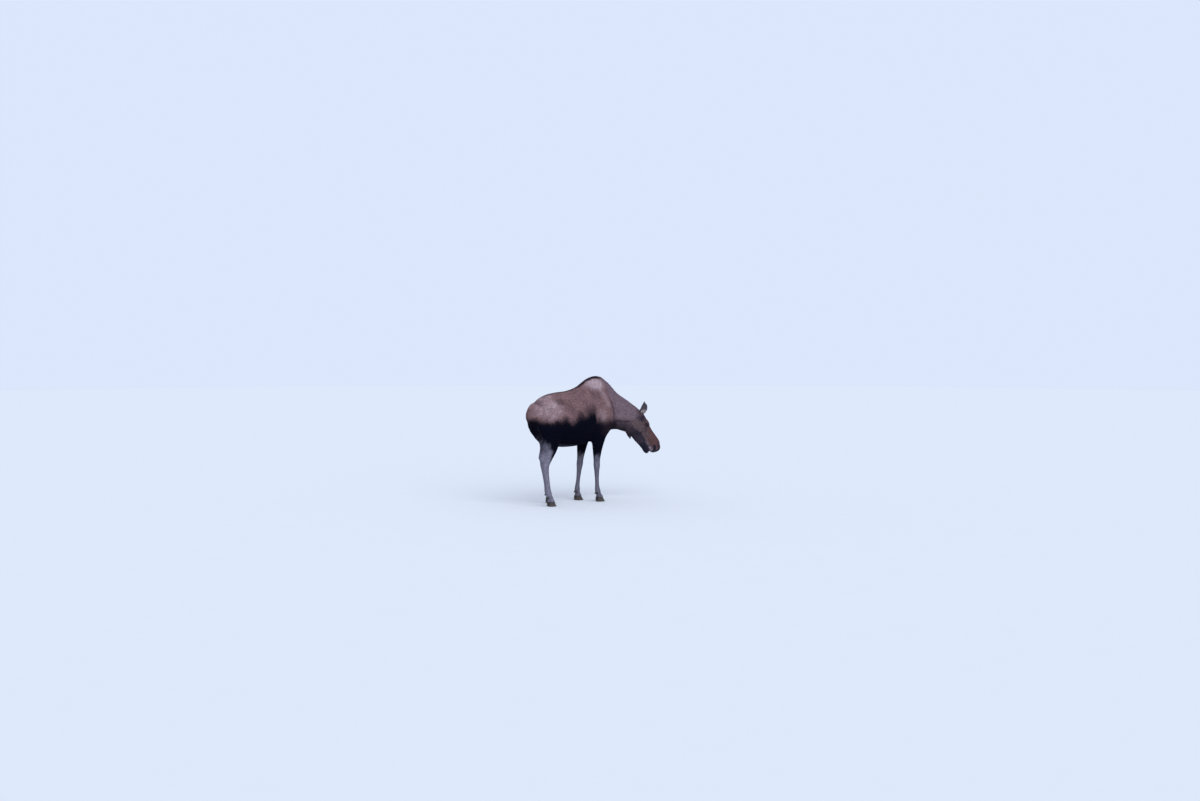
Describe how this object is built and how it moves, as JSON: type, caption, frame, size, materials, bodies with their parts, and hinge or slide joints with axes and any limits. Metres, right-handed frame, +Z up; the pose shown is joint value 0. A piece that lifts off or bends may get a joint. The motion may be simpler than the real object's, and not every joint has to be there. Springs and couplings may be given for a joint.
{
  "type": "moose",
  "caption": "Life-size still model of a cow moose in her winter coat, standing with a high shoulder hump and her long head lowered to browse.",
  "frame": {"origin": "on the floor, under the middle of the box around the whole animal", "axes": "+X from the rump toward the chest, +Y to the animal's left, +Z up"},
  "size_m": [2.1848, 0.6548, 1.7841],
  "materials": {
    "upper_coat": "matt hair",
    "neck_coat": "matt hair",
    "face_coat": "short matt hair",
    "ear_coat": "short matt hair",
    "dark_coat": "matt hair",
    "leg_coat": "short matt hair",
    "hoof": "horn, dull satin",
    "eye": "wet gloss"
  },
  "bodies": {
    "root": {"trunk": "upper_coat", "neck": "neck_coat", "tail": "neck_coat", "head": "face_coat", "bell": "neck_coat", "ear_right": "ear_coat", "ear_left": "ear_coat", "eye_right": "eye", "eye_left": "eye", "foreleg_right_upper": "dark_coat", "foreleg_right_forearm": "dark_coat", "foreleg_right_cannon": "leg_coat", "foreleg_right_hoof_right": "hoof", "foreleg_right_hoof_left": "hoof", "foreleg_right_dewclaw_right": "hoof", "foreleg_right_dewclaw_left": "hoof", "foreleg_left_upper": "dark_coat", "foreleg_left_forearm": "dark_coat", "foreleg_left_cannon": "leg_coat", "foreleg_left_hoof_right": "hoof", "foreleg_left_hoof_left": "hoof", "foreleg_left_dewclaw_right": "hoof", "foreleg_left_dewclaw_left": "hoof", "hindleg_right_thigh": "dark_coat", "hindleg_right_gaskin": "dark_coat", "hindleg_right_cannon": "leg_coat", "hindleg_right_hoof_right": "hoof", "hindleg_right_hoof_left": "hoof", "hindleg_right_dewclaw_right": "hoof", "hindleg_right_dewclaw_left": "hoof", "hindleg_left_thigh": "dark_coat", "hindleg_left_gaskin": "dark_coat", "hindleg_left_cannon": "leg_coat", "hindleg_left_hoof_right": "hoof", "hindleg_left_hoof_left": "hoof", "hindleg_left_dewclaw_right": "hoof", "hindleg_left_dewclaw_left": "hoof"}
  },
  "joints": []
}
